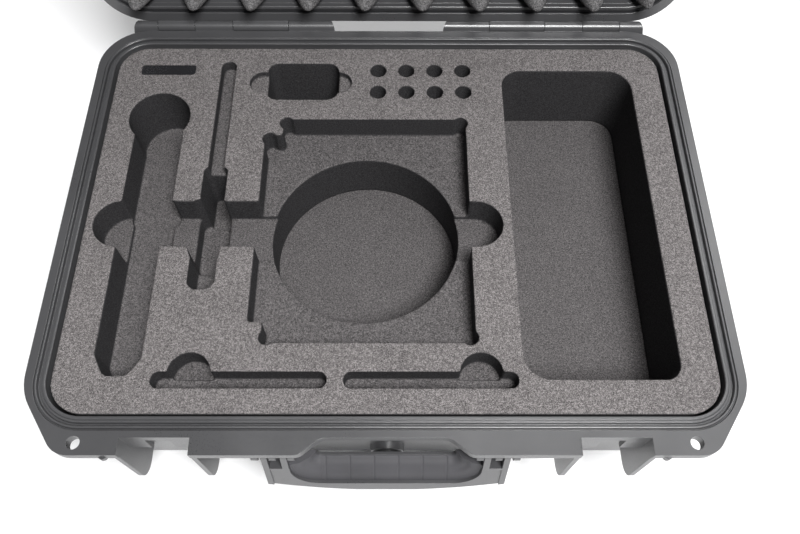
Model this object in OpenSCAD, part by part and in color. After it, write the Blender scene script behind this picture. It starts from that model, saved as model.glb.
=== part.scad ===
// Hard carrying case for a wireless microphone set: moulded base and lid, hinges, latches, handle
// and a routed foam inlay. Millimetres. +X right, +Y to the hinges, +Z up. The origin is the middle
// of the underside, where the feet stand. The lid is drawn open.

/* [Base] */
// Inside width of the base at the rim
inner_w = 474; // [460:1:500]
// Inside depth of the base at the rim, front to back
inner_d = 336; // [326:1:360]
// Inside corner radius at the rim
inner_r = 28.5; // [27:0.5:34]
// Height of the foam stack, from the floor to the rim
base_h = 127; // [115:1:150]
// Thickness of the moulded walls
wall = 3.5; // [2.5:0.25:4.5]
// Thickness of the base's floor
floor_t = 4; // [3:0.5:6]
// Height of the moulded feet
foot_h = 3; // [2:0.5:6]
// Lean of the walls for moulding, in degrees
draft = 4.5; // [1:0.25:5]
// Radius of the rounded edge round the bottom, on the outside
edge_r = 20; // [14:1:22]

/* [Rim] */
// How far the flange reaches past the inside wall at the sides
flange_side = 16; // [14:0.5:20]
// How far the flange reaches past the inside wall at the back
flange_back = 17.4; // [15:0.1:19]
// How far the flange reaches past the inside wall at the front corners
flange_front = 26.3; // [24:0.5:30]
// Height of the flange's outer edge
flange_t = 8; // [6:0.5:10]
// Height of the flange's top above the foam
flange_z = 1; // [0:0.25:1.5]
// Height of the inner sealing ridge above the foam
ridge_z = 3; // [2.5:0.25:4]
// Radius of the padlock holes
lock_r = 4.6; // [3:0.1:5]
// Distance from a padlock hole to the flange's side
lock_in = 42.8; // [40:0.1:46]

/* [Lid] */
// Inside height of the lid
lid_h = 51; // [47:1:70]
// Gap between the closed lid and the base
part_gap = 0.4; // [0.3:0.1:0.8]
// How far the lid's inside wall stands outside the base's
lid_step = 3; // [2:0.25:4]
// Angle that the open lid is turned back by, in degrees
lid_open = 97; // [90:1:110]
// Pitch of the peaks in the lid's foam
foam_pitch = 49.2; // [40:0.2:60]
// Height from valley to peak in the lid's foam
foam_wave = 26; // [15:1:28]

/* [Hinge] */
// Radius of the hinge barrel
barrel_r = 5; // [4:0.25:5]
// Radius of the hinge pins
pin_r = 2; // [1.5:0.1:2.5]
// Distance from the flange's back edge to the hinge axis
hinge_out = 5.6; // [5.6:0.1:8]

/* [Latches] */
// Distance from the case's middle to the middle of a latch
latch_x = 156.3; // [150:0.1:165]
// Width of the bay that a latch swings in
bay_w = 48.2; // [44:0.1:52]
// How far the keeper reaches below the foam's top
keeper_h = 26; // [20:1:32]
// Width of the notch in a keeper
keeper_notch = 17.2; // [12:0.1:22]
// How far the plates beside a bay reach down
gusset_h = 77; // [60:1:90]
// Width of a latch
latch_w = 45.6; // [40:0.1:45.8]
// How far an open latch is swung out, in degrees
latch_open = 105; // [80:1:120]

/* [Handle] */
// Distance between the outer faces of the handle's arms
handle_w = 171; // [160:1:178]
// Length of the handle from its pivot to the bottom
handle_h = 55; // [53:0.2:62]
// Thickness of the grip, front to back
grip_t = 17.6; // [15:0.2:19]
// Distance from the pivot down to the top of the grip
finger_h = 25.8; // [24:0.2:27]
// How far the hanging handle leans out, in degrees
handle_lean = 11; // [0:1:14]
// Radius of the handle's pivot pins
handle_pin_r = 2; // [1.5:0.1:2.5]

/* [Inlay] */
// Gap between the foam and the shell at the rim
foam_gap = 2; // [1:0.25:3]
// Thickness of the routed foam layer
inlay_t = 70; // [60:1:80]
// Depth of the receiver's recess
receiver_t = 23.5; // [15:0.5:30]
// Depth of the finger trench across the inlay
trench_t = 28.7; // [20:0.1:35]
// Radius of the round well under the receiver
well_r = 75; // [60:1:80]
// Depth of the microphone's body recess
mic_t = 34; // [30:1:40]
// Radius of the microphone's head recess
mic_head_r = 25.4; // [22:0.1:28]
// Radius of a battery hole
battery_r = 6.9; // [6:0.1:7.5]
// Depth of a battery hole
battery_t = 45; // [30:1:52]
// Distance between battery holes
battery_pitch = 24.4; // [20:0.1:26]
// Depth of the antenna slots
antenna_t = 16.5; // [10:0.5:20]

/* [Hidden] */
$fn = 72;

shell_colour = [0.13, 0.13, 0.14];
foam_colour = [0.33, 0.32, 0.32];
rubber_colour = [0.06, 0.06, 0.07];
steel_colour = [0.6, 0.6, 0.62];

fit = 0.05;        // running clearance of a pin in its bore, on the radius
soft_gap = 0.3;    // clearance of foam and rubber from what they rest on
side_gap = 0.4;    // clearance between hinge knuckles, side by side
foam_z = foot_h + floor_t + base_h;  // height of the foam's top above the ground

// ---- Rim -------------------------------------------------------------------------------------
flange_r = 41;                           // radius of the flange's rounded corners
flange_x = inner_w/2 + flange_side;
back_y = inner_d/2 + flange_back;
front_y = -inner_d/2 - flange_front;
front_corner_r = 18;                     // radius of the corners that hold the padlock holes
lock_x = flange_x - lock_in;
front_corner = [lock_x + 2.8, front_y + front_corner_r];
side_corner = [flange_x - flange_r, -inner_d/2 + 31];
rim_w = 10;                              // width of the ridges and grooves, from the inside wall
recess_y = front_y + 12;                 // front edge of the flange at the bays and the handle
lock_y = front_y + 8.5;
step_z = ridge_z - 1.1;                  // height of the low step outside the inner ridge
seal_z = ridge_z - 0.6;                  // height of the thin ridge that the gasket closes on
lid_z = flange_z + part_gap;             // height of the closed lid's underside
groove_in = 5.7;                         // the gasket's groove, out from the base's inside wall
groove_out = 9.2;
groove_z = lid_z + 5;                    // bottom of that groove
lid_wall_z = groove_z + 1;               // where the lid's wall and gussets start
keeper_t = 3.4;
pin_end = 2.5;                           // what stays closed behind the outer end of a pin
foot_in = [42, 122];                     // from the base's inside wall to the middle of a foot

// ---- Hinge -----------------------------------------------------------------------------------
hinge_y = back_y + hinge_out;
hinge_z = flange_z;
// Where the knuckles of one hinge begin and end, from the flange's side and from the middle
knuckle_in = [205.5, 163, 113.5, 79.5, 46.5, 24];
knuckles = [for (k = knuckle_in) flange_x - k];
hinge_taper = 5.5;                       // how much a hinge narrows at each end towards the back

// ---- Latch, in the closed lid's place ----------------------------------------------------------
gusset_t = 3.6;                          // thickness of the plates beside a bay
bay_x = [latch_x - bay_w/2, latch_x + bay_w/2];
lid_gusset_h = lid_h - 8;
latch_pivot = [front_y + 6.3, 15];
latch_pin_r = 2;
barrel_out = 6.5;                        // radius of the latch's barrel
plate_y = front_y - 1.2;                 // front of the latch's plate
plate_t = 5;
latch_bottom = -keeper_h - 17;
claw_top = -keeper_h - part_gap;
claw_h = 5;
claw_w = 7;
window_w = 28;                           // of the window in the plate, for the trigger
trigger_gap = 0.5;
trigger_pivot = [plate_y + plate_t + 2.8, -9];
trigger_pin_r = 1.5;
trigger_top = trigger_pivot[1] + 5;
coil_w = 4;                              // half the room for the spring, between the trigger's hubs
nose_w = 14;

// ---- Handle: y and z from its pivot, before it leans out ----------------------------------------
handle_pivot = [front_y + 4.9, -flange_t - 4.2];
arm_x = handle_w/2;
strut_r = 4.8;
strut_x = [[arm_x - 17.8, arm_x - 13.3], [arm_x - 4.2, arm_x]];
lug_r = 5.2;
lug_x = [[arm_x - 23.3, arm_x - 18.5], [arm_x - 10.5, arm_x - 5.7], [arm_x + 1.8, arm_x + 6.5]];
bridge_z = -15.7;                        // bottom of the window between the struts
panel_z = -17.7;                         // top of the panel below it, which lies a little deeper
panel_in = 1;
tray_t = 2.5;                            // thickness of the tray that holds the grip
bend_front_r = 21;                       // radius of the front wall's edge at the bend
bend_back_r = 3.2;
bend = [strut_x[0][0] - bend_front_r, bend_back_r - finger_h];   // centre of that bend
handle_sag = 13;                         // how much lower the bottom edge is in the middle
handle_back = grip_t - strut_r;
grip_r = 28;                             // how far from the bend's centre the grip reaches down
grip_y = [-strut_r + panel_in + tray_t, handle_back - tray_t];

// ---- Valve -------------------------------------------------------------------------------------
valve_z = -86;
valve_r = 7;
valve_head_r = 11;
valve_seat_y = -inner_d/2 - wall + 0.2;  // outer face of the flat that the valve sits on
valve_low = valve_z - valve_head_r - 2.5;    // lowest point of that flat
valve_nut_y = -inner_d/2 - valve_low*tan(draft) + 0.3;   // its inner face
valve_head_t = 3.4;
valve_ring_r = 8.8;                      // radius of the sealing ring, to the middle of its section
valve_ring_t = 2.4;

// ---- Inlay -------------------------------------------------------------------------------------
label_in = 1;                            // how far the label plate lies below the foam's top
label_t = 1.6;
label_w = 46.4;
label_d = 10.4;
pocket_x = 97.5;                         // left wall of the accessory pocket

// ================================ general shapes ==================================================

// Rounded rectangle about the middle
module rounded_rect(w, d, r) {
    square([w - 2*r, d], center = true);
    square([w, d - 2*r], center = true);
    for (x = [-1, 1], y = [-1, 1]) translate([x*(w/2 - r), y*(d/2 - r)]) circle(r);
}

// Two circles and what lies between their outer tangents
module link(a, ra, b, rb) {
    d = b - a;
    turn = atan2(d[1], d[0]);
    lean = acos((ra - rb)/norm(d));
    up = [cos(turn + lean), sin(turn + lean)];
    down = [cos(turn - lean), sin(turn - lean)];
    translate(a) circle(ra);
    translate(b) circle(rb);
    polygon([a + ra*up, b + rb*up, b + rb*down, a + ra*down]);
}

// Points of a closed outline whose corners [x, y, r] are rounded by r
function unit(v) = v/norm(v);
function rounded(path, step = 12) = [for (i = [0:len(path) - 1])
    let (n = len(path), v = [path[i][0], path[i][1]], r = path[i][2],
         a = path[(i + n - 1) % n], b = path[(i + 1) % n],
         u = unit([a[0], a[1]] - v), w = unit([b[0], b[1]] - v))
    each r == 0 ? [v] :
        let (half = acos(u*w)/2, mid = v + unit(u + w)*r/sin(half),
             from = v + u*r/tan(half) - mid, to = v + w*r/tan(half) - mid,
             a0 = atan2(from[1], from[0]),
             turn = atan2(from[0]*to[1] - from[1]*to[0], from*to),
             n_arc = max(2, ceil(abs(turn)/step)))
        [for (k = [0:n_arc]) mid + r*[cos(a0 + turn*k/n_arc), sin(a0 + turn*k/n_arc)]]];

// Sweeps a profile round a rounded rectangle: x counts from the corner's axis, so x = r is on it
module loop(w, d, r) {
    for (q = [0:3]) rotate(q*90) {
        across = q % 2 == 0 ? w : d;
        along = q % 2 == 0 ? d : w;
        translate([across/2 - r, 0, 0]) rotate([90, 0, 0])
            linear_extrude(along - 2*r, center = true) children();
        translate([across/2 - r, along/2 - r, 0]) rotate_extrude(angle = 90) children();
    }
}

// Tub with leaning walls and a rounded bottom edge; w, d and r are its size at the height z1
module tub(w, d, r, z0, z1, edge) {
    cx = r - (z1 - z0 - edge)*tan(draft) - edge/cos(draft);
    loop(w, d, r) {
        polygon([[0, z0], [cx, z0], [cx + edge*cos(draft), z0 + edge - edge*sin(draft)],
                 [r, z1], [0, z1]]);
        translate([cx, z0 + edge]) intersection() {
            circle(edge);
            translate([0, -edge]) square(edge);
        }
    }
    translate([0, 0, z0]) linear_extrude(z1 - z0) square([w - 2*r, d - 2*r], center = true);
}

// A profile in y and z, given width along x
module along_x(x0, x1) {
    translate([x0, 0, 0]) rotate([90, 0, 90]) linear_extrude(x1 - x0) children();
}

// A profile in x and z, given thickness along y
module along_y(y0, y1) {
    translate([0, y1, 0]) rotate([90, 0, 0]) linear_extrude(y1 - y0) children();
}

module pin(x0, x1, at, r) {
    along_x(x0, x1) translate(at) circle(r);
}

module both_sides() {
    children();
    mirror([1, 0, 0]) children();
}

// Parts of the base: z counts from the foam's top
module in_base() {
    translate([0, 0, foam_z]) children();
}

// Parts of the lid, drawn where they are on the closed case and then swung open
module in_lid() {
    in_base() translate([0, hinge_y, hinge_z]) rotate([-lid_open, 0, 0])
        translate([0, -hinge_y, -hinge_z]) children();
}

// Parts of a latch, swung out from the lid
module in_latch(side) {
    in_lid() translate([side*latch_x, latch_pivot[0], latch_pivot[1]])
        rotate([-latch_open, 0, 0]) translate([0, -latch_pivot[0], -latch_pivot[1]]) children();
}

// Parts of the handle: drawn hanging straight down from its pivot, then leaned out
module in_handle() {
    in_base() translate([0, handle_pivot[0], handle_pivot[1]]) rotate([-handle_lean, 0, 0])
        children();
}

// ================================ shells ==========================================================

// Outline of the flange: the case's widest shape, with the padlock corners in front
module flange_outline() {
    side_back = side_corner[1] - flange_r;
    translate([0, (back_y + side_back)/2])
        rounded_rect(2*flange_x, back_y - side_back, flange_r);
    for (s = [-1, 1])
        link([s*side_corner[0], side_corner[1]], flange_r,
             [s*front_corner[0], front_corner[1]], front_corner_r);
    translate([-front_corner[0], front_y]) square([2*front_corner[0], inner_d/2]);
}

// What the flange leaves free in front: two latch bays and the hollow over the handle
module front_recesses() {
    for (s = [-1, 1])
        translate([s*latch_x - bay_w/2, front_y - 10]) square([bay_w, recess_y - front_y + 10]);
    polygon(rounded([
        [-43.6, recess_y, 12], [43.6, recess_y, 12], [58.8, front_y, 9], [70, front_y - 0.01, 0],
        [70, front_y - 10, 0], [-70, front_y - 10, 0], [-70, front_y - 0.01, 0],
        [-58.8, front_y, 9]]));
}

// The flange's plate between the heights z0 and z1, outside the ridges
module flange_plate(z0, z1) {
    translate([0, 0, z0]) linear_extrude(z1 - z0) difference() {
        flange_outline();
        rounded_rect(inner_w + 2*rim_w, inner_d + 2*rim_w, inner_r + rim_w);
        front_recesses();
    }
}

// Sweeps a profile round the rim: x counts out from the base's inside wall, y up from the foam's top
module round_rim(profile) {
    loop(inner_w, inner_d, inner_r) translate([inner_r, 0]) polygon(profile);
}

// Plate beside a latch bay, from the height z0 in the flange to z1
module gusset(x0, z0, z1) {
    y_back = -inner_d/2 + 8;
    along_x(x0, x0 + gusset_t) polygon(rounded([
        [y_back, z0, 0], [front_y + 0.6, z0, 0], [front_y + 0.6, z1, 15],
        [y_back, z1 + sign(z1), 0]]));
}

module gussets(z0, z1) {
    gusset(bay_x[0] - gusset_t, z0, z1);
    gusset(bay_x[1], z0, z1);
}

// The slanted cut at a hinge's end; inward is 1 at the end near the middle, -1 at the other
module hinge_end(x, inward) {
    translate([x, back_y, hinge_z - 15]) linear_extrude(30)
        polygon([[-inward, -2], [0, -2], [inward*hinge_taper, 11], [-inward, 11]]);
}

// Hinge knuckle number k of one hinge, out from the middle; side is 1 for the lid, -1 for the base
module knuckle(k, side) {
    x0 = knuckles[k] + (k == 0 ? 0 : side_gap/2);
    x1 = knuckles[k + 1] - (k == 4 ? 0 : side_gap/2);
    difference() {
        along_x(x0, x1)
            link([back_y - 0.8, hinge_z + side*(barrel_r + 2.2)], 1.8, [hinge_y, hinge_z], barrel_r);
        if (k == 0) hinge_end(x0, 1);
        if (k == 4) hinge_end(x1, -1);
    }
}

module hinge_bores() {
    both_sides()
        pin(knuckles[0] - 1, knuckles[5] - hinge_taper - 0.5, [hinge_y, hinge_z], pin_r + fit);
}

module padlock_holes() {
    for (s = [-1, 1]) translate([s*lock_x, lock_y, -20]) cylinder(h = 60, r = lock_r);
}

// ---- Base shell ----

// The rim's ridges and grooves: [out, up, corner radius]
base_rim = rounded([
    [0, -flange_t, 0], [0, ridge_z, 0.9], [2.5, ridge_z, 0.6], [2.8, step_z, 0.3],
    [4.4, step_z, 0.6], [4.6, flange_z - 2, 0.3], [6.3, flange_z - 2, 0.3],
    [6.5, seal_z, 0.8], [8.3, seal_z, 0.8], [8.5, flange_z - 1.5, 0.2],
    [9.3, flange_z - 1.5, 0.2], [9.5, flange_z, 0.3], [rim_w + 1, flange_z, 0],
    [rim_w + 1, flange_z - flange_t, 0]], 30);

// The keeper: a skirt behind the bay that the latch's claws hook under, and two ribs behind it
module keeper() {
    along_y(recess_y, recess_y + keeper_t) difference() {
        translate([latch_x - bay_w/2 - 1, -keeper_h]) square([bay_w + 2, keeper_h]);
        translate([latch_x, -keeper_h]) polygon(rounded([
            [-keeper_notch/2, -1, 0], [keeper_notch/2, -1, 0],
            [keeper_notch/2, keeper_h - 4, 1.5], [-keeper_notch/2, keeper_h - 4, 6]]));
    }
    for (s = [-1, 1])
        translate([latch_x + s*(bay_w/2 - 6) - 1.2, recess_y + keeper_t - 0.5, -keeper_h])
            cube([2.4, 20, keeper_h - 1]);
}

// Stiffening ribs under the flange at the sides
module side_ribs() {
    for (y = [-90, -30, 30, 90])
        translate([0, y - 1.5, 0]) along_y(0, 3)
            polygon([[inner_w/2 - 4, -2], [flange_x - 3, -2], [flange_x - 3, -flange_t],
                     [inner_w/2 - 4, -50]]);
}

// One foot in front and one behind
module feet(x) {
    for (y = [-1, 1]) translate([x, y*(inner_d/2 - 45), -base_h - floor_t - foot_h])
        cylinder(h = foot_h + 1, r1 = 11, r2 = 13);
}

// Raised panel in the middle of the underside, level with the feet
module underside_panel() {
    translate([0, 0, -base_h - floor_t - foot_h]) linear_extrude(foot_h + 1)
        rounded_rect(inner_w/3, inner_d/3, 14);
}

// A lug for the handle's pin, under the flange
module handle_lug(x0, x1) {
    along_x(x0, x1)
        link([handle_pivot[0] + 6, -flange_t + 2], 4.8, handle_pivot, lug_r);
}

// Flat boss in the front wall that the valve is clamped to
module valve_boss() {
    along_y(valve_seat_y, valve_nut_y) translate([0, valve_z]) circle(valve_head_r + 2.5);
}

module base_shell() {
    color(shell_colour) in_base() difference() {
        union() {
            difference() {
                union() {
                    tub(inner_w + 2*wall, inner_d + 2*wall, inner_r + wall,
                        -base_h - floor_t, -1, edge_r);
                    round_rim(base_rim);
                    flange_plate(flange_z - flange_t, flange_z);
                    both_sides() {
                        gussets(-flange_t/2, -gusset_h);
                        keeper();
                        side_ribs();
                        translate([bay_x[1] + gusset_t + 7, front_y + 1.5, -flange_t - 0.7])
                            cylinder(h = 4, r = 3);
                        for (k = [0, 2, 4]) knuckle(k, -1);
                        for (x = lug_x) handle_lug(x[0], x[1]);
                        for (x = foot_in) feet(inner_w/2 - x);
                    }
                    underside_panel();
                }
                tub(inner_w, inner_d, inner_r, -base_h, 0, edge_r - wall);
            }
            valve_boss();
        }
        hinge_bores();
        both_sides() pin(lug_x[0][0] - 1, lug_x[2][1] - pin_end, handle_pivot, handle_pin_r + fit);
        padlock_holes();
        along_y(valve_seat_y - 1, valve_nut_y + 1) translate([0, valve_z]) circle(valve_r + fit);
    }
}

// ---- Lid shell: drawn on the closed case, mouth down ----

// The lid's lip, with the groove for its gasket: [out, up, corner radius]
lid_rim = rounded([
    [lid_step, step_z + part_gap, 0.8], [groove_in, step_z + part_gap, 0.3],
    [groove_in, groove_z, 0.3], [groove_out, groove_z, 0.3], [groove_out, lid_z, 0.3],
    [rim_w + 1, lid_z, 0], [rim_w + 1, lid_z + flange_t, 0], [lid_step, lid_z + flange_t, 0]], 30);

// A tub the size of the lid, larger than its inside by more on all sides, mouth down
module lid_tub(more, depth, mouth, edge) {
    translate([0, 0, mouth]) mirror([0, 0, 1])
        tub(inner_w + 2*lid_step + 2*more, inner_d + 2*lid_step + 2*more,
            inner_r + lid_step + more, -depth, 0, edge);
}

// Raised panel on the lid's top
module lid_panel() {
    translate([0, 0, lid_z + lid_h + wall - 1]) linear_extrude(3) difference() {
        rounded_rect(inner_w - 90, inner_d - 90, 20);
        rounded_rect(inner_w - 130, inner_d - 130, 12);
    }
}

module lid_shell() {
    color(shell_colour) in_lid() difference() {
        union() {
            lid_tub(wall, lid_z + lid_h + wall - lid_wall_z, lid_wall_z, edge_r);
            round_rim(lid_rim);
            flange_plate(lid_z, lid_z + flange_t);
            lid_panel();
            both_sides() {
                gussets(lid_wall_z, lid_gusset_h);
                for (k = [1, 3]) knuckle(k, 1);
            }
        }
        lid_tub(0, lid_h, lid_z, edge_r - wall);
        hinge_bores();
        padlock_holes();
        both_sides() pin(bay_x[0] - gusset_t - 1, bay_x[1] + gusset_t - pin_end/2,
                         latch_pivot, latch_pin_r + fit);
    }
}

module lid_gasket() {
    side = 0.1;
    color(rubber_colour) in_lid() round_rim(rounded([
        [groove_in + side, seal_z + soft_gap, 1], [groove_out - side, seal_z + soft_gap, 1],
        [groove_out - side, groove_z, 0.5], [groove_in + side, groove_z, 0.5]], 30));
}

// ---- Hinge and handle pins ----

module hinge_pin() {
    color(steel_colour) in_base()
        pin(knuckles[0] + hinge_taper, knuckles[5] - hinge_taper - 0.5, [hinge_y, hinge_z], pin_r);
}
module hinge_pin_right() hinge_pin();
module hinge_pin_left() mirror([1, 0, 0]) hinge_pin();

module handle_pin() {
    color(steel_colour) in_base()
        pin(lug_x[0][0] + 0.3, lug_x[2][1] - pin_end, handle_pivot, handle_pin_r);
}
module handle_pin_right() handle_pin();
module handle_pin_left() mirror([1, 0, 0]) handle_pin();

// ================================ foam ============================================================

// The whole foam stack, a little smaller than the base's inside
module foam_block() {
    tub(inner_w - 2*foam_gap, inner_d - 2*foam_gap, inner_r - foam_gap,
        -base_h, 0, edge_r - wall);
}

module slab(z0, z1) {
    translate([-inner_w, -inner_d, z0]) cube([2*inner_w, 2*inner_d, z1 - z0]);
}

module base_foam_pad() {
    color(foam_colour) in_base() difference() {
        intersection() {
            foam_block();
            slab(-base_h - 1, -inlay_t);
        }
        // room for the valve's nut
        along_y(-inner_d, valve_nut_y + 11)
            link([0, valve_z], valve_head_r + 3, [0, -inlay_t], valve_head_r + 3);
    }
}

// A cut straight down into the inlay
module cut(depth) {
    translate([0, 0, -depth]) linear_extrude(depth + 1) children();
}

// Rectangle from its corners, with rounded corners
module box_2d(x0, y0, x1, y1, r) {
    translate([(x0 + x1)/2, (y0 + y1)/2]) rounded_rect(x1 - x0, y1 - y0, r);
}

module disc(x, y, r) {
    translate([x, y]) circle(r);
}

// Handheld microphone: a round head, and a body that narrows a little; x from the left wall
module microphone_recess() {
    translate([-inner_w/2, 0, 0]) {
        cut(mic_t + 16) disc(45, 89.6, mic_head_r);
        cut(mic_t) {
            box_2d(27, 0, 67, 76, 5);
            polygon(rounded([
                [29, 10, 0], [29, -122, 6], [37.5, -138.5, 8], [54, -138.5, 8],
                [62.5, -126, 6], [62.5, 10, 0]]));
        }
    }
}

// Cable slot beside the microphone: narrow behind, and three deeper parts; x from the left wall
module cable_slot() {
    translate([-inner_w/2, 0, 0]) {
        cut(12) {
            disc(98, 144, 6.4);
            box_2d(91.6, 30, 104.4, 146, 4);
        }
        cut(52) box_2d(88.7, 7, 107.9, 38.8, 4);
        cut(46) polygon(rounded([
            [83, 8.4, 6], [83, -34, 3], [87.4, -44, 0], [108.4, -44, 0], [108.4, 8.4, 3]]));
        cut(30) box_2d(87.2, -70.8, 107.7, -30, 8);
    }
}

// Receiver: a shallow rectangle with relieved corners over a round well
module receiver_recess() {
    cut(receiver_t) {
        polygon(rounded([
            [-101.6, -97, 2], [-90.5, -97, 2], [-90.5, -113.2, 3], [64.7, -113.2, 3],
            [64.7, 87.4, 3], [-87.5, 87.4, 3], [-87.5, 71, 2], [-101.6, 71, 2]]));
        for (at = [[-84.5, 83.5], [60.5, 83.5], [-86.5, -109], [60.8, -109], [-98, 67.5]])
            disc(at[0], at[1], 6);
    }
    cut(inlay_t + 1) disc(-18, -13, well_r);
}

// Finger trench with a round end on each side
trench_x = [-inner_w/2 + 28.3, 70];
module trench() {
    cut(trench_t) {
        translate([trench_x[0], -34]) square([trench_x[1] - trench_x[0], 40.4]);
        for (x = trench_x) disc(x, -13.8, 20.2);
    }
}

// Small square pocket with a finger notch on each side
module small_pocket() {
    cut(inlay_t + 1) box_2d(-104.6, 108.7, -43.4, 148.3, 9);
    cut(6.7) {
        disc(-108.2, 127.4, 11.3);
        disc(-43.3, 127.4, 11.3);
    }
}

module battery_holes() {
    for (i = [0:3], j = [0, 1])
        cut(battery_t) disc(27.6 + (i - 1.5)*battery_pitch, 116.75 + j*23.7, battery_r);
}

// One of the two long slots along the front, with a finger notch at its inner end
module antenna_slot(x0, x1, notch_x) {
    cut(antenna_t) box_2d(x0, -147.4, x1, -135, 5.8);
    cut(antenna_t + 4) intersection() {
        disc(notch_x, -136, 15.2);
        box_2d(notch_x - 16, -136, notch_x + 16, -118, 1);
    }
}

// Deep pocket for transmitters and accessories, along the right wall
module accessory_pocket() {
    back = inner_d/2 - 27.6;
    front = -inner_d/2 + 27.1;
    side = inner_w/2 - 28;
    cut(inlay_t + 1) polygon(rounded([
        [pocket_x, front, 20], [side, front, 12], [side, back, 20], [pocket_x, back, 17]]));
}

// The plate's place, from the left and the back wall
module label_place(gap, r) {
    translate([-inner_w/2 + 45.5, inner_d/2 - 26.5])
        rounded_rect(label_w + 2*gap, label_d + 2*gap, r);
}

// The routed layer is glued up from six sections, which meet at these places
seam_x = [-inner_w/2 + 77, -inner_w/2 + 114, 95.5];
seam_y = [-118, 98];

// The part of the routed layer between two corners
module inlay_section(x0, y0, x1, y1) {
    color(foam_colour) in_base() difference() {
        intersection() {
            foam_block();
            translate([x0, y0, -inlay_t]) cube([x1 - x0, y1 - y0, inlay_t + 1]);
        }
        microphone_recess();
        cable_slot();
        receiver_recess();
        trench();
        small_pocket();
        battery_holes();
        antenna_slot(-165.5, -42, -139.4);
        antenna_slot(-30.1, 93.4, 67.6);
        accessory_pocket();
        cut(label_in + label_t) label_place(0.3, 2);
    }
}
module inlay_microphone() inlay_section(-inner_w, -inner_d, seam_x[0], inner_d);
module inlay_cable() inlay_section(seam_x[0], -inner_d, seam_x[1], inner_d);
module inlay_receiver() inlay_section(seam_x[1], seam_y[0], seam_x[2], seam_y[1]);
module inlay_batteries() inlay_section(seam_x[1], seam_y[1], seam_x[2], inner_d);
module inlay_antennas() inlay_section(seam_x[1], -inner_d, seam_x[2], seam_y[0]);
module inlay_accessories() inlay_section(seam_x[2], -inner_d, inner_w, inner_d);

module inlay_label() {
    color(rubber_colour) in_base() translate([0, 0, -label_in - label_t])
        linear_extrude(label_t) label_place(0, 1.8);
}

// ---- Lid foam: peaks and valleys on a block that fills the lid ----

wave_n = [36, 26];                       // steps of the wavy face, along x and y
foam_half = [inner_w/2 + lid_step - 1.4, inner_d/2 + lid_step - 1.4];
foam_corner = inner_r + lid_step - 1.4;
wave_shift = [29.1, 13.4];               // where a peak is

// Height of the wavy face above the base's foam: it clears the rim at its edge
function wave_z(x, y, edge) =
    let (f = (cos(360*(x - wave_shift[0])/foam_pitch) + cos(360*(y - wave_shift[1])/foam_pitch))/2)
    soft_gap + foam_wave*(1 - f)/2 + 8*max(0, 1 - edge/14);
// Half width of the block at a depth y, with rounded corners, when it is smaller by inset
function half_width(y, inset) =
    let (r = foam_corner, over = max(0, abs(y) - (foam_half[1] - inset - r)))
    foam_half[0] - inset - r + sqrt(max(0, r*r - over*over));
function spread(n) = [for (i = [0:n]) cos(180*(1 - i/n))*0.12 + (2*i/n - 1)*0.88];
us = spread(wave_n[0]);
vs = spread(wave_n[1]);
function on_block(i, j, inset, z) =
    let (y = vs[j]*(foam_half[1] - inset), x = us[i]*half_width(y, inset),
         edge = min(half_width(y, inset) - abs(x), foam_half[1] - inset - abs(y)))
    [x, y, is_undef(z) ? wave_z(x, y, edge) : z];
// Grid places round the block's edge, anticlockwise
edge_ij = [
    for (i = [0:wave_n[0] - 1]) [i, 0],
    for (j = [0:wave_n[1] - 1]) [wave_n[0], j],
    for (i = [wave_n[0]:-1:1]) [i, wave_n[1]],
    for (j = [wave_n[1]:-1:1]) [0, j]
];

module lid_foam() {
    row = wave_n[0] + 1;
    side_inset = (foam_wave + 8)*tan(draft);
    // inset and height of each ring
    rings = [[(lid_h - 12)*tan(draft), lid_z + lid_h - 12],
             [lid_h*tan(draft) + edge_r - wall, lid_z + lid_h]];
    n = len(edge_ij);
    face = [for (j = [0:wave_n[1]], i = [0:wave_n[0]]) on_block(i, j, side_inset)];
    sides = [for (ring = rings, e = edge_ij) on_block(e[0], e[1], ring[0], ring[1])];
    first = len(face);
    loops = [[for (e = edge_ij) e[1]*row + e[0]],
             [for (k = [0:n - 1]) first + k], [for (k = [0:n - 1]) first + n + k]];
    color(foam_colour) in_lid() polyhedron(concat(face, sides), concat(
        [for (j = [0:wave_n[1] - 1], i = [0:wave_n[0] - 1], t = [0, 1]) let (a = j*row + i)
            t == 0 ? [a, a + 1, a + row + 1] : [a, a + row + 1, a + row]],
        [for (l = [0, 1], k = [0:n - 1], t = [0, 1]) let (m = (k + 1) % n)
            t == 0 ? [loops[l][k], loops[l + 1][k], loops[l + 1][m]]
                   : [loops[l][k], loops[l + 1][m], loops[l][m]]],
        [[for (k = [n - 1:-1:0]) loops[2][k]]]));
}

// ================================ latches =========================================================

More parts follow.
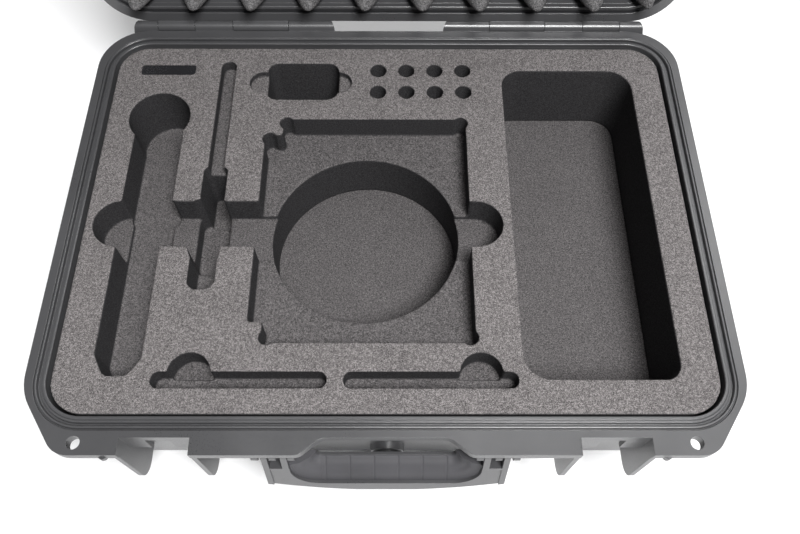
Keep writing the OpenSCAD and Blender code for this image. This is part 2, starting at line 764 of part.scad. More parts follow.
// Plate, barrel and two claws, with a window for the trigger
module latch_body(side) {
    color(shell_colour) in_latch(side) difference() {
        union() {
            along_x(-latch_w/2, latch_w/2) {
                translate(latch_pivot) circle(barrel_out);
                polygon(rounded([
                    [plate_y, latch_pivot[1] + 5.5, 2], [plate_y, latch_bottom, 1.5],
                    [plate_y + plate_t, latch_bottom, 1.5], [plate_y + plate_t, latch_pivot[1], 0],
                    [latch_pivot[0], latch_pivot[1] + 5.5, 0]]));
            }
            for (s = [-1, 1]) translate([s*(window_w/2 + latch_w/2)/2, 0, 0])
                along_x(-claw_w/2, claw_w/2) polygon(rounded([
                    [plate_y + 2, claw_top, 0], [plate_y + 2, claw_top - 10, 0],
                    [recess_y - 1, claw_top - claw_h, 2], [recess_y + keeper_t + 1, claw_top - claw_h, 1.5],
                    [recess_y + keeper_t + 1, claw_top, 1.2]]));
            // lugs that hold the trigger's pin
            for (s = [-1, 1]) translate([s*(window_w/2 + 2.5), 0, 0]) along_x(-2, 2)
                link([plate_y + 2, trigger_pivot[1]], 4, trigger_pivot, 3);
        }
        along_x(-window_w/2, window_w/2)
            translate([plate_y - 1, latch_bottom - 1])
                square([plate_t + 9, trigger_top + 1.8 - latch_bottom]);
        pin(-latch_w, latch_w, latch_pivot, latch_pin_r + fit);
        pin(-window_w/2 - 5, window_w/2 + 4, trigger_pivot, trigger_pin_r + fit);
    }
}
module latch_body_left() latch_body(-1);
module latch_body_right() latch_body(1);

// Release trigger: a paddle in the latch's window, with a nose that fits the keeper's notch
module latch_trigger(side) {
    w = window_w/2 - trigger_gap;
    back = plate_y + plate_t - 1;
    color(shell_colour) in_latch(side) difference() {
        union() {
            along_x(-w, w) polygon(rounded([
                [plate_y, trigger_top, 1], [plate_y, latch_bottom - 2, 2],
                [back, latch_bottom - 2, 2], [back, trigger_top, 1]]));
            for (s = [-1, 1]) translate([s*(w + coil_w)/2, 0, 0])
                along_x(-(w - coil_w)/2, (w - coil_w)/2)
                    link([back - 1.5, trigger_pivot[1] - 2], 2.5, trigger_pivot, 2.9);
            translate([-nose_w/2, back - 1, -keeper_h + 2])
                cube([nose_w, recess_y + keeper_t - back + 1, 6]);
        }
        pin(-w - 1, w + 1, trigger_pivot, trigger_pin_r + fit);
    }
}
module latch_trigger_left() latch_trigger(-1);
module latch_trigger_right() latch_trigger(1);

module latch_pin_right() {
    color(steel_colour) in_lid()
        pin(bay_x[0] - gusset_t, bay_x[1] + gusset_t - pin_end/2, latch_pivot, latch_pin_r);
}
module latch_pin_left() mirror([1, 0, 0]) latch_pin_right();

module trigger_pin(side) {
    color(steel_colour) in_latch(side)
        pin(-window_w/2 - 4, window_w/2 + 4, trigger_pivot, trigger_pin_r);
}
module trigger_pin_left() trigger_pin(-1);
module trigger_pin_right() trigger_pin(1);

// Torsion spring round the trigger's pin: its two legs are straight, the rest is a helix
module trigger_spring(side) {
    turns = 4;
    wire_r = 0.45;
    coil_r = trigger_pin_r + 0.35 + wire_r;
    steps = 12;
    sides = 8;
    leg = 6;
    n = turns*steps;
    // [angle, how far along the leg] of each ring of points
    stations = concat([[180, -leg]], [for (k = [0:n]) [180 + 360*k/steps, 0]], [[180, leg]]);
    pitch = 2*wire_r + 0.15;
    points = [for (st = stations, k = [0:sides - 1])
        let (a = st[0], r = coil_r + wire_r*cos(360*k/sides),
             turn = st[1] > 0 ? turns : (a - 180)/360,
             x = pitch*(turn - turns/2) + wire_r*sin(360*k/sides))
        [x, r*cos(a) - st[1]*sin(a), r*sin(a) + st[1]*cos(a)]];
    rings = len(stations);
    color(steel_colour) in_latch(side) translate([0, trigger_pivot[0], trigger_pivot[1]])
        polyhedron(points, concat(
            [[for (k = [sides - 1:-1:0]) k]],
            [for (i = [0:rings - 2], k = [0:sides - 1], t = [0, 1])
                let (a = i*sides + k, b = i*sides + (k + 1) % sides)
                t == 0 ? [a, b, b + sides] : [a, b + sides, a + sides]],
            [[for (k = [0:sides - 1]) (rings - 1)*sides + k]]));
}
module trigger_spring_left() trigger_spring(-1);
module trigger_spring_right() trigger_spring(1);

// ================================ handle ==========================================================

// Front view of the U's inside, up to a height; r is the radius of its bend
module u_space(r, top) {
    translate([-bend[0], bend[1] - r]) square([2*bend[0], top - bend[1] + r]);
    translate([-bend[0] - r, bend[1]]) square([2*(bend[0] + r), top - bend[1]]);
    for (s = [-1, 1]) translate([s*bend[0], bend[1]]) circle(r);
}

// Front view of the whole frame: straight arms and a bottom edge that sags
module handle_outline() {
    sag_r = (arm_x*arm_x + handle_sag*handle_sag)/(2*handle_sag);
    intersection() {
        translate([0, sag_r - handle_h - 0.3]) circle(sag_r, $fn = 360);
        translate([-arm_x, -handle_h - 1]) square([2*arm_x, handle_h + 10]);
    }
}

// Side view of the frame: thin at the pivot, as deep as the grip further down
module handle_side() {
    polygon(rounded([
        [-strut_r, strut_r, strut_r - 0.01], [strut_r, strut_r, strut_r - 0.01],
        [strut_r, -8, 6], [handle_back, 5 - finger_h, 2],
        [handle_back, -handle_h, 4], [-strut_r, -handle_h, 2.5]], 10));
}

module handle_frame() {
    front = -strut_r - 1;
    color(shell_colour) in_handle() difference() {
        intersection() {
            along_y(-strut_r, handle_back) handle_outline();
            along_x(-arm_x - 1, arm_x + 1) handle_side();
        }
        // the U inside: its front edge is lower than its back edge, and the grip's tray is between
        along_y(front, grip_y[0]) u_space(bend_front_r, 20);
        along_y(grip_y[0], grip_y[1]) u_space(grip_r, panel_z);
        along_y(grip_y[0] - 1, handle_back + 1) u_space(bend_back_r, panel_z);
        along_y(grip_y[0] - 1, handle_back + 1)
            translate([-strut_x[0][0], panel_z - 0.01]) square([2*strut_x[0][0], 40]);
        both_sides() {
            translate([strut_x[0][1], -20, bridge_z])
                cube([strut_x[1][0] - strut_x[0][1], 40, 40]);
            pin(strut_x[0][0] - 1, arm_x + 1, [0, 0], handle_pin_r + fit);
        }
        along_y(front, -strut_r + panel_in) translate([-strut_x[1][0], -handle_h - 1])
            square([2*strut_x[1][0], handle_h + 1 + panel_z]);
    }
}

// Sweeps a profile along the U: x counts away from the bend's centre, y towards the case
module along_grip() {
    translate([0, 0, bend[1]]) rotate([0, 90, 0]) linear_extrude(2*bend[0], center = true)
        children();
    both_sides() translate([bend[0], 0, bend[1]]) {
        rotate([-90, 0, 0]) rotate_extrude(angle = 90) children();
        linear_extrude(panel_z - bend[1]) children();
    }
}

module handle_grip() {
    color(rubber_colour) in_handle() along_grip() polygon(rounded([
        [bend_back_r, grip_y[1], 0.8], [bend_back_r + 3.5, grip_y[0] + 5, 3],
        [bend_front_r, grip_y[0], 0.4], [grip_r, grip_y[0], 0], [grip_r, grip_y[1], 0]]));
}

// ================================ pressure valve ==================================================

module valve_body() {
    color(steel_colour) in_base() difference() {
        union() {
            along_y(valve_seat_y, valve_nut_y + 6.5) translate([0, valve_z]) circle(valve_r);
            along_y(valve_seat_y - valve_head_t, valve_seat_y) translate([0, valve_z])
                circle(valve_head_r);
        }
        along_y(valve_seat_y - valve_ring_t - 0.1, valve_seat_y + 1) translate([0, valve_z])
            difference() {
                circle(valve_ring_r + valve_ring_t/2 + 0.1);
                circle(valve_ring_r - valve_ring_t/2 - 0.1);
            }
        along_y(valve_seat_y - 5, valve_nut_y + 8) translate([0, valve_z]) circle(1.6);
    }
}

module valve_o_ring() {
    color(rubber_colour) in_base() translate([0, valve_seat_y - valve_ring_t/2, valve_z])
        rotate([90, 0, 0]) rotate_extrude() translate([valve_ring_r, 0]) circle(valve_ring_t/2);
}

module valve_nut() {
    color(steel_colour) in_base() along_y(valve_nut_y, valve_nut_y + 5) translate([0, valve_z])
        difference() {
            circle(valve_head_r + 0.8, $fn = 6);
            circle(valve_r + fit);
        }
}

// Cap screwed on the valve's head, with finger notches round its edge
module valve_cap() {
    back = valve_seat_y - valve_head_t;
    color(shell_colour) in_base() along_y(back - 4, back) translate([0, valve_z]) difference() {
        circle(valve_head_r - 1);
        for (i = [0:11]) rotate(30*i) translate([valve_head_r - 0.4, 0]) circle(1.2);
    }
}

base_shell();
base_foam_pad();
inlay_label();
inlay_microphone();
inlay_cable();
inlay_receiver();
inlay_batteries();
inlay_antennas();
inlay_accessories();
hinge_pin_left();
hinge_pin_right();
lid_shell();
lid_foam();
lid_gasket();
latch_pin_left();
latch_pin_right();
latch_body_left();
latch_body_right();
latch_trigger_left();
latch_trigger_right();
trigger_pin_left();
trigger_pin_right();
trigger_spring_left();
trigger_spring_right();
handle_frame();
handle_grip();
handle_pin_left();
handle_pin_right();
valve_body();
valve_o_ring();
valve_nut();
valve_cap();
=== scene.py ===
"""A hard carrying case for a wireless microphone set, open, with a routed foam inlay.

Metres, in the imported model's own frame: +X right, +Y to the hinges, +Z up, the floor at zero.
The lid is drawn open in the frame; its soft foam is made in the closed lid's place and then swung.
"""

import math

import bmesh
import bpy
import numpy as np
from mathutils import Matrix, Vector


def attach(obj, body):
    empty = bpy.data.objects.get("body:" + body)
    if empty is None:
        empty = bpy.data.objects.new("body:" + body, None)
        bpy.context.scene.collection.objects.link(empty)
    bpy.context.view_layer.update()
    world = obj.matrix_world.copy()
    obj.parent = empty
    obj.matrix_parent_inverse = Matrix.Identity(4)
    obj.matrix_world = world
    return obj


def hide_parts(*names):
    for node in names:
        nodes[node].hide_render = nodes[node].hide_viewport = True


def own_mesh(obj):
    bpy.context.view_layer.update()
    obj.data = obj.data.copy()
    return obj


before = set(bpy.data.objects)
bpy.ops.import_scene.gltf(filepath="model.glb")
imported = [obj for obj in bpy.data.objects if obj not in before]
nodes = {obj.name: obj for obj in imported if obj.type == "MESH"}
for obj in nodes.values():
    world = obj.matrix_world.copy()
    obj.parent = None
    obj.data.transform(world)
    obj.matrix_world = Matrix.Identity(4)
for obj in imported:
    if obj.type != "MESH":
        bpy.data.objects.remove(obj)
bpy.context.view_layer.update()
scene = bpy.context.scene
MM = 0.001

# ---- measures of the frame, in millimetres ---------------------------------------------------
FOAM_Z = 134.0          # height of the foam's top above the ground
INNER = (474.0, 336.0)  # inside of the base at the rim
INNER_R = 28.5
HINGE = (191.0, 1.0)    # y and z of the hinge axis, z from the foam's top
LID_OPEN = 97.0
LID_H = 51.0
LID_Z = 1.4
LID_STEP = 3.0
HANDLE_PIVOT = (-189.4, -12.2)
HANDLE_LEAN = 11.0


def shift(x, y, z):
    return Matrix.Translation((x * MM, y * MM, z * MM))


IN_BASE = shift(0, 0, FOAM_Z)
IN_LID = (IN_BASE @ shift(0, *HINGE) @ Matrix.Rotation(-math.radians(LID_OPEN), 4, "X")
          @ shift(0, -HINGE[0], -HINGE[1]))
IN_HANDLE = IN_BASE @ shift(0, *HANDLE_PIVOT) @ Matrix.Rotation(-math.radians(HANDLE_LEAN), 4, "X")


# ---- camera ----------------------------------------------------------------------------------
SENSOR_W = 36.0                             # millimetres
FOCAL = 759.25 / 800                        # focal length as a share of the picture's width
CAMERA_AT = (0.00819, -0.31529, 0.64308)
CAMERA_RIGHT = (0.999995, -0.000398, 0.003034)
CAMERA_UP = (-0.001039, 0.888389, 0.459091)


def make_camera():
    data = bpy.data.cameras.new("camera")
    cam = bpy.data.objects.new("camera", data)
    scene.collection.objects.link(cam)
    scene.camera = cam
    data.sensor_width = SENSOR_W
    data.lens = FOCAL * SENSOR_W
    data.clip_start, data.clip_end = 0.01, 50
    right = Vector(CAMERA_RIGHT).normalized()
    up = Vector(CAMERA_UP).normalized()
    back = right.cross(up).normalized()
    turn = Matrix((right, up, back)).transposed()
    cam.matrix_world = Matrix.Translation(CAMERA_AT) @ turn.to_4x4()


make_camera()


# ---- materials -------------------------------------------------------------------------------
class Mat:
    """A node material under construction: each call adds a node and returns its output."""

    def __init__(self, name):
        self.m = bpy.data.materials.new(name)
        self.m.use_nodes = True
        self.t = self.m.node_tree
        self.shader = self.t.nodes["Principled BSDF"]

    def node(self, kind, inputs=(), **settings):
        n = self.t.nodes.new(kind)
        for key, value in settings.items():
            setattr(n, key, value)
        for key, value in dict(inputs).items():
            if isinstance(value, bpy.types.NodeSocket):
                self.t.links.new(value, n.inputs[key])
            else:
                n.inputs[key].default_value = value
        return n

    def coords(self):
        return self.node("ShaderNodeTexCoord").outputs["Object"]

    def noise(self, where, scale, detail=2.0, rough=0.5):
        return self.node("ShaderNodeTexNoise", {"Vector": where, "Scale": scale, "Detail": detail,
                                                "Roughness": rough}).outputs["Fac"]

    def ramp(self, fac, *stops):
        n = self.node("ShaderNodeValToRGB", {"Fac": fac})
        e = n.color_ramp.elements
        while len(e) < len(stops):
            e.new(0.5)
        for el, (at, colour) in zip(e, stops):
            el.position = at
            el.color = (*colour, 1)
        return n.outputs["Color"]

    def range(self, value, a, b, c, d):
        return self.node("ShaderNodeMapRange", {"Value": value, "From Min": a, "From Max": b,
                                                "To Min": c, "To Max": d}).outputs["Result"]

    def math(self, op, a, b):
        return self.node("ShaderNodeMath", {0: a, 1: b}, operation=op).outputs[0]

    def mix(self, fac, a, b):
        return self.node("ShaderNodeMix", {"Factor": fac, 6: a, 7: b}, data_type="RGBA").outputs[2]

    def scaled(self, colour, by):
        return self.node("ShaderNodeVectorMath", {0: colour, "Scale": by}, operation="SCALE").outputs[0]

    def bump(self, height, strength, distance, normal=None):
        ins = {"Height": height, "Strength": strength, "Distance": distance}
        if normal is not None:
            ins["Normal"] = normal
        return self.node("ShaderNodeBump", ins).outputs["Normal"]

    def set(self, **values):
        for key, value in values.items():
            s = self.shader.inputs[key.replace("_", " ")]
            if isinstance(value, bpy.types.NodeSocket):
                self.t.links.new(value, s)
            else:
                s.default_value = value
        return self.m


def plastic(name, colour, rough=0.42, grain=1.0, edge=0.5, sheen=0.5, ior=1.5):
    """Moulded plastic: fine spark-eroded grain, broad changes of tone and gloss, eased edges."""
    m = Mat(name)
    at = m.coords()
    fine = m.noise(at, 1500, 2)
    broad = m.noise(at, 14, 3)
    soft = m.node("ShaderNodeBevel", {"Radius": edge * MM}, samples=4).outputs["Normal"]
    tone = m.range(broad, 0.3, 0.7, 0.9, 1.1)
    base = m.scaled(colour, tone)
    roughness = m.math("ADD", m.range(broad, 0.3, 0.7, rough - 0.04, rough + 0.04),
                       m.range(fine, 0.3, 0.7, -0.05, 0.05))
    return m.set(Base_Color=base, Roughness=roughness, Specular_IOR_Level=sheen, IOR=ior,
                 Normal=m.bump(fine, 0.25 * grain, 0.0002, soft))


def foam(name, top, dark, pore=1500.0):
    """Open-cell foam: speckled on its split faces, darker where the cut attribute is high: on its cut
    walls, partly their own colour and partly painted shade, and with painted shade on recess floors and
    between the lid's peaks.
    """
    m = Mat(name)
    at = m.coords()
    # cut: how far a point is darkened, for a cut wall and for painted shade
    cut = m.node("ShaderNodeAttribute", attribute_name="cut").outputs["Fac"]
    cells = m.noise(at, pore, 2.0, 0.65)
    coarse = m.noise(at, pore * 0.45, 1.0)
    tiny = m.noise(at, pore * 1.9, 1.0)
    patches = m.noise(at, 30, 3)
    grain = m.math("ADD", m.math("MULTIPLY", cells, 0.72), m.math("MULTIPLY", coarse, 0.28))
    speck = m.ramp(grain, (0.34, tuple(c * 0.16 for c in top)), (0.5, top),
                   (0.64, tuple(min(1.0, c * 2.6) for c in top)))
    sparkle = m.range(tiny, 0.64, 0.76, 0.0, 0.75)
    bright = m.mix(sparkle, speck, (0.62, 0.58, 0.56, 1))
    shade = m.range(patches, 0.3, 0.7, 0.94, 1.06)
    face = m.scaled(bright, shade)
    # The cut walls' dark colour: partly their own, partly painted shade.
    wall = m.ramp(grain, (0.36, tuple(c * 0.5 for c in dark)), (0.62, tuple(c * 1.6 for c in dark)))
    glint = m.mix(m.math("MULTIPLY", sparkle, 0.35), wall, (0.4, 0.38, 0.37, 1))
    colour = m.mix(cut, face, glint)
    return m.set(Base_Color=colour, Roughness=0.95, Specular_IOR_Level=0.15,
                 Normal=m.bump(grain, 0.5, 0.0005))


def rubber(name, colour):
    """Matt moulded rubber with a fine grain."""
    m = Mat(name)
    at = m.coords()
    fine = m.noise(at, 2200, 2)
    broad = m.noise(at, 25, 2)
    tone = m.range(broad, 0.3, 0.7, 0.9, 1.12)
    base = m.scaled(colour, tone)
    return m.set(Base_Color=base, Roughness=m.range(fine, 0.3, 0.7, 0.55, 0.7),
                 Specular_IOR_Level=0.35, Normal=m.bump(fine, 0.3, 0.00015))


def steel(name, colour, rough):
    """Drawn steel: fine lines round a pin that lies along X."""
    m = Mat(name)
    at = m.coords()
    turned = m.node("ShaderNodeMapping", {"Vector": at, "Scale": (40, 1500, 1500)}).outputs[0]
    lines = m.noise(turned, 1.0, 2)
    roughness = m.range(lines, 0.3, 0.7, rough - 0.07, rough + 0.1)
    return m.set(Base_Color=(*colour, 1), Metallic=1.0, Roughness=roughness,
                 Normal=m.bump(lines, 0.1, 0.0001))


SHELL = plastic("shell_plastic", (0.062, 0.062, 0.065), rough=0.34, grain=0.35, sheen=0.7, ior=1.6)
LATCH = plastic("latch_plastic", (0.036, 0.036, 0.038), rough=0.36, sheen=1.0, ior=1.6)
FOAM = foam("grey_foam", (0.12, 0.112, 0.112), (0.036, 0.035, 0.037))
LID_FOAM = foam("lid_foam", (0.10, 0.098, 0.10), (0.03, 0.03, 0.032))
RUBBER = rubber("grip_rubber", (0.07, 0.069, 0.075))
GASKET = rubber("seal_rubber", (0.02, 0.02, 0.022))
STEEL = steel("pin_steel", (0.55, 0.55, 0.56), 0.3)
# Black plastic, darkened further as painted shade for the dim hollow behind the handle that the valve
# sits in.
VALVE_SHADED = plastic("valve_plastic_shaded", (0.03, 0.03, 0.031), rough=0.4)
PLATE = plastic("plate_plastic", (0.02, 0.02, 0.022), rough=0.25, grain=0.3, edge=0.3)

BY_NODE = {"base_shell": SHELL, "lid_shell": SHELL, "handle_frame": SHELL, "inlay_label": PLATE,
           "lid_gasket": GASKET, "valve_o_ring": GASKET, "handle_grip": RUBBER, "valve_body": VALVE_SHADED,
           "valve_nut": VALVE_SHADED, "valve_cap": LATCH}


def material_of(name):
    """The material of a CAD node: what isn't listed is a latch's moulding, foam, or else steel."""
    if name in BY_NODE:
        return BY_NODE[name]
    if name.startswith(("latch_body", "latch_trigger")):
        return LATCH
    return FOAM if "foam" in name else STEEL


for name, obj in nodes.items():
    obj.data.materials.clear()
    obj.data.materials.append(material_of(name))


# ---- foam ------------------------------------------------------------------------------------
def mesh_object(name, points, faces, material):
    me = bpy.data.meshes.new(name)
    me.from_pydata([tuple(p) for p in points], [], faces)
    me.update()
    obj = bpy.data.objects.new(name, me)
    scene.collection.objects.link(obj)
    me.materials.append(material)
    me.polygons.foreach_set("use_smooth", [True] * len(me.polygons))
    return obj


def remeshed(sources, name, voxel, material):
    """A fine even mesh of the volume of some CAD nodes, with its corners slightly eased."""
    bm = bmesh.new()
    for node in sources:
        bm.from_mesh(nodes[node].data)
    bmesh.ops.remove_doubles(bm, verts=bm.verts, dist=1e-6)
    me = bpy.data.meshes.new(name)
    bm.to_mesh(me)
    bm.free()
    obj = bpy.data.objects.new(name, me)
    scene.collection.objects.link(obj)
    mod = obj.modifiers.new("even", "REMESH")
    mod.mode = "VOXEL"
    mod.voxel_size = voxel * MM
    bpy.context.view_layer.update()
    made = bpy.data.meshes.new_from_object(obj.evaluated_get(bpy.context.evaluated_depsgraph_get()))
    obj.modifiers.clear()
    obj.data = made
    made.materials.clear()
    made.materials.append(material)
    made.polygons.foreach_set("use_smooth", [True] * len(made.polygons))
    return obj


def arrays(me):
    co = np.empty(len(me.vertices) * 3)
    me.vertices.foreach_get("co", co)
    no = np.empty(len(me.vertices) * 3)
    me.vertices.foreach_get("normal", no)
    return co.reshape(-1, 3), no.reshape(-1, 3)


FLOOR_SHADE = 0.5        # painted shade on a recess's floor: 0 is the top's colour, and 1 a cut wall's


def mark(obj, values):
    """Stores each point's darkening for the foam's material: cut walls, and painted shade on recess
    floors and lid valleys.
    """
    a = obj.data.attributes.new("cut", "FLOAT", "POINT")
    a.data.foreach_set("value", np.asarray(values, np.float32))


def mark_cut(obj):
    """Cut walls are dark, partly their own colour and partly painted shade; the floors of the recesses
    get painted shade between them and the top.
    """
    steep, flat = 0.25, 0.8          # upward part of the normal, on a wall and on a floor or the top
    shade_from, shade_to = 4, 10         # millimetres below the foam's top, where painted shade darkens a floor
    co, no = arrays(obj.data)
    wall = 1 - np.clip((np.abs(no[:, 2]) - steep) / (flat - steep), 0, 1)
    recess_shade = np.clip((FOAM_Z - shade_from - co[:, 2] / MM) / (shade_to - shade_from), 0, 1)
    mark(obj, np.maximum(wall, FLOOR_SHADE * recess_shade))


def settle(obj, body, stands_for):
    """Gives a piece its body and the CAD nodes that it replaces."""
    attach(obj, body)
    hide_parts(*stands_for)


inlay_nodes = sorted(n for n in nodes if n.startswith("inlay_") and n != "inlay_label")
inlay = remeshed(inlay_nodes, "foam_inlay", 1.25, FOAM)
mark_cut(inlay)
settle(inlay, "base", inlay_nodes)

pad = remeshed(["base_foam_pad"], "foam_base_layer", 2.0, FOAM)
mark_cut(pad)
settle(pad, "base", ["base_foam_pad"])

# The lid's foam: rounded peaks on a block that fills the lid, made in the closed lid's place
PITCH = 49.2
PEAK = (29.1, 13.4)      # where one peak is
PEAK_H = 42.0            # from the valleys to the peaks
PEAK_DEEP = 16.0         # how far the peaks reach past the base foam's top when nothing presses them
EDGE_FADE = 7.0          # width of the band along the edge where the peaks die away
PORE_DEEP = 0.16         # spread of the wavy face's roughness
SIDE_GAP = 1.4           # from the foam's side to the lid's
FOAM_HALF = (INNER[0] / 2 + LID_STEP - SIDE_GAP, INNER[1] / 2 + LID_STEP - SIDE_GAP)
FOAM_R = INNER_R + LID_STEP - SIDE_GAP
BACK_Z = LID_Z + LID_H
# The block's side and rounded back edge: how far in, and how high
SIDE_RINGS = ((1.4, 20), (2.8, 36), (3.4, BACK_Z - 12), (6.5, BACK_Z - 6), (12, BACK_Z - 2),
              (20.4, BACK_Z - 0.2))


def half_width(y, inset=0.0):
    """Half width of the block at a depth y, with rounded corners, when it is smaller by inset."""
    r = FOAM_R
    over = np.maximum(0, np.abs(y) - (FOAM_HALF[1] - inset - r))
    return FOAM_HALF[0] - inset - r + np.sqrt(np.maximum(0, r * r - over * over))


def spread(n):
    """Steps from -1 to 1 that are a little closer together at both ends."""
    return -np.cos(np.linspace(0, 1, n + 1) * math.pi) * 0.12 + np.linspace(-0.88, 0.88, n + 1)


def wave(t):
    return (1 + np.cos(2 * math.pi * t / PITCH)) / 2


def lid_foam():
    nx, ny = ((240, 168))
    u, v = spread(nx), spread(ny)
    y = np.repeat(v * FOAM_HALF[1], nx + 1)
    wide = half_width(y)
    x = np.tile(u, ny + 1) * wide
    edge = np.minimum(wide - np.abs(x), FOAM_HALF[1] - np.abs(y))
    peak = wave(x - PEAK[0]) * wave(y - PEAK[1])
    fade = np.clip(edge / EDGE_FADE, 0, 1)
    z = PEAK_H - PEAK_DEEP - PEAK_H * peak * fade ** 0.5
    pores = np.random.default_rng(7).normal(0, PORE_DEEP, len(z)) * (edge > 2)
    rim_clear = 4.5 - 13 * np.clip(edge - 1.5, 0, 2)      # keeps the block's edge off the base's rim
    z = np.maximum(z, rim_clear) + pores
    points = [np.column_stack([x, y, z])]
    ring = ([(i, 0) for i in range(nx)] + [(nx, j) for j in range(ny)]
            + [(i, ny) for i in range(nx, 0, -1)] + [(0, j) for j in range(ny, 0, -1)])
    row = nx + 1
    faces = [(j * row + i, (j + 1) * row + i, (j + 1) * row + i + 1, j * row + i + 1)
             for j in range(ny) for i in range(nx)]
    last = [j * row + i for i, j in ring]
    start = row * (ny + 1)
    count = len(ring)
    for inset, height in SIDE_RINGS:
        yy = np.array([v[j] for _, j in ring]) * (FOAM_HALF[1] - inset)
        xx = np.array([u[i] for i, _ in ring]) * half_width(yy, inset)
        points.append(np.column_stack([xx, yy, np.full(count, float(height))]))
        new = list(range(start, start + count))
        for k in range(count):
            m = (k + 1) % count
            faces.append((last[k], last[m], new[m], new[k]))
        last, start = new, start + count
    faces.append(tuple(last))
    co = np.vstack(points) * MM
    obj = mesh_object("foam_lid_waves", co, faces, LID_FOAM)
    # Painted shade: darker towards the valleys between the peaks; the block's sides get a cut wall's
    # colour.
    valley_and_side_shade = np.zeros(len(co))
    valley_and_side_shade[:row * (ny + 1)] = np.clip((z + PEAK_DEEP) / PEAK_H, 0, 1) ** 1.5
    valley_and_side_shade[row * (ny + 1):] = 1
    mark(obj, valley_and_side_shade)
    obj.data.transform(IN_LID)
    settle(obj, "lid", ["lid_foam"])
    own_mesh(obj)


lid_foam()


# ---- grip: rubber moulded into the handle's tray, in short lengths with fine seams ------------------
BEND = (46.7, -22.6)       # x and z of the bend's centre, from the handle's pivot
GRIP_TOP = -17.7           # z of the grip's two upper ends, from the handle's pivot
GRIP_Y = (-1.3, 10.3)      # front and rear
GRIP_OUT = 28.0            # from the bend's centre to the grip's outer side
SEAM_PITCH = 17.5
SEAM_W = 0.5
SEAM_DEEP = 0.4
CROWN = 0.15               # how much each length between two seams bulges
STEP = 0.35                # between two sections
SHARP = 50                 # degrees between two faces whose edge stays sharp


def grip():
    """The tray's rubber: a section swept along the handle's bar, round both bends and up its ends."""
    # (out from the bend's centre, towards the case): rear rim, shaded upper step, crowned front
    profile = [(GRIP_OUT, GRIP_Y[1]), (3.3, GRIP_Y[1]), (3.2, GRIP_Y[1] - 0.6), (3.7, GRIP_Y[1] - 1.2),
               (4.7, 8.2), (5.6, 6.8), (6.6, 5.4), (7.9, 4.2), (9.8, 3.2), (11.9, 2.3), (12.5, 1.5),
               (14.2, 0.6), (16.4, 0.0), (18.6, -0.5), (20.2, -0.95), (20.9, -1.2),
               (21.3, GRIP_Y[0]), (GRIP_OUT, GRIP_Y[0])]
    soft = range(3, 16)      # the profile's points that seams and crowns move
    stations = []
    for x in np.arange(-BEND[0], BEND[0] + 0.01, STEP):
        turns = (x + SEAM_PITCH / 2) / SEAM_PITCH
        near = abs(turns - round(turns)) * SEAM_PITCH      # distance to the nearest seam
        crown = CROWN * (1 - (1 - 2 * near / SEAM_PITCH) ** 2)
        stations.append(((x, 0.0), SEAM_DEEP * math.exp(-(near / SEAM_W) ** 2) - crown))
    left, right = [], []
    for a in np.linspace(0, 90, 24):
        right.append(((BEND[0], a), 0.0))
        left.append(((-BEND[0], -a), 0.0))
    rise = [((BEND[0], 90, h), 0.0) for h in np.linspace(0.4, GRIP_TOP - BEND[1], 5)]
    fall = [((-BEND[0], -90, h), 0.0) for h in np.linspace(GRIP_TOP - BEND[1], 0.4, 5)]
    path = fall + left[::-1] + stations[1:-1] + right + rise
    points, n = [], len(profile)
    for at, sink in path:
        turn = math.radians(at[1]) if abs(at[0]) >= BEND[0] - 1e-6 else 0.0
        lift = at[2] if len(at) > 2 else 0.0
        for k, (out, y) in enumerate(profile):
            o = out + (sink * 0.6 if k in soft else 0)
            yy = y + (sink * 0.8 if k in soft else 0)
            points.append((at[0] + o * math.sin(turn), yy, BEND[1] - o * math.cos(turn) + lift))
    faces = [(i * n + k, i * n + (k + 1) % n, (i + 1) * n + (k + 1) % n, (i + 1) * n + k)
             for i in range(len(path) - 1) for k in range(n)]
    faces += [tuple(range(n))[::-1], tuple((len(path) - 1) * n + k for k in range(n))]
    obj = mesh_object("rubber_grip", np.array(points) * MM, faces, RUBBER)
    bm = bmesh.new()
    bm.from_mesh(obj.data)
    bmesh.ops.recalc_face_normals(bm, faces=bm.faces)
    for e in bm.edges:
        if len(e.link_faces) == 2 and e.calc_face_angle(0) > math.radians(SHARP):
            e.smooth = False
    bm.to_mesh(obj.data)
    bm.free()
    obj.data.transform(IN_HANDLE)
    settle(obj, "handle", ["handle_grip"])


grip()


# ---- floor and light -------------------------------------------------------------------------
FLOOR_HALF = 6.0
FLOOR_LIFT = 0.03          # light that the floor itself gives, as the camera sees it
AMBIENT = 0.1
LOOK_AT = (0, 0, 0.1)


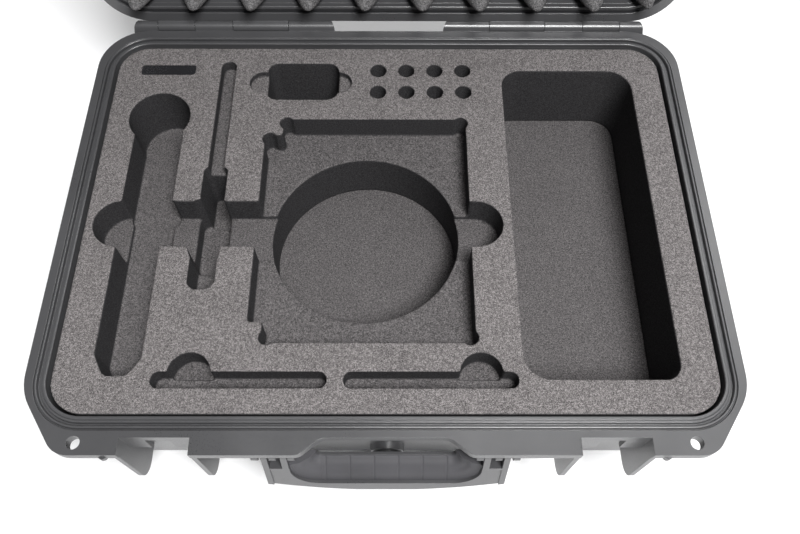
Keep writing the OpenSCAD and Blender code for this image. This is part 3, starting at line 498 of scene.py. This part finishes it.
def make_floor():
    me = bpy.data.meshes.new("floor")
    s = FLOOR_HALF
    me.from_pydata([(-s, -s, 0), (s, -s, 0), (s, s, 0), (-s, s, 0)], [], [(0, 1, 2, 3)])
    floor = bpy.data.objects.new("floor", me)
    scene.collection.objects.link(floor)
    m = Mat("pale_floor")
    m.set(Base_Color=(0.95, 0.95, 0.955, 1), Roughness=0.9, Specular_IOR_Level=0.1)
    ray = m.node("ShaderNodeLightPath")
    seen = m.math("MAXIMUM", ray.outputs["Is Camera Ray"], ray.outputs["Is Glossy Ray"])
    seen = m.math("MAXIMUM", seen, ray.outputs["Is Transmission Ray"])
    m.t.links.new(m.math("MULTIPLY", seen, FLOOR_LIFT), m.shader.inputs["Emission Strength"])
    m.shader.inputs["Emission Color"].default_value = (1, 1, 1, 1)
    me.materials.append(m.m)


def make_lights():
    """A soft key from the front right, a wide light behind, and a background that looks white."""
    world = bpy.data.worlds.new("studio")
    scene.world = world
    world.use_nodes = True
    t = world.node_tree
    bg = t.nodes["Background"]
    bg.inputs["Color"].default_value = (1, 1, 1, 1)
    bg.inputs["Strength"].default_value = AMBIENT
    seen = t.nodes.new("ShaderNodeBackground")
    seen.inputs["Strength"].default_value = 1.0
    mix = t.nodes.new("ShaderNodeMixShader")
    ray = t.nodes.new("ShaderNodeLightPath")
    t.links.new(ray.outputs["Is Camera Ray"], mix.inputs[0])
    t.links.new(bg.outputs[0], mix.inputs[1])
    t.links.new(seen.outputs[0], mix.inputs[2])
    t.links.new(mix.outputs[0], t.nodes["World Output"].inputs["Surface"])

    def area(name, at, size, power):
        data = bpy.data.lights.new(name, "AREA")
        data.shape = "RECTANGLE"
        data.size, data.size_y = size
        data.energy = power
        lamp = bpy.data.objects.new(name, data)
        scene.collection.objects.link(lamp)
        lamp.location = at
        lamp.rotation_mode = "QUATERNION"
        lamp.rotation_quaternion = (Vector(LOOK_AT) - Vector(at)).to_track_quat("-Z", "Y")

    area("key_light", (0.45, -0.8, 1.95), (0.7, 0.7), 60)
    area("back_light", (0.45, 0.95, 1.75), (1.5, 0.7), 16)


make_floor()
make_lights()
scene.view_settings.view_transform = "Standard"
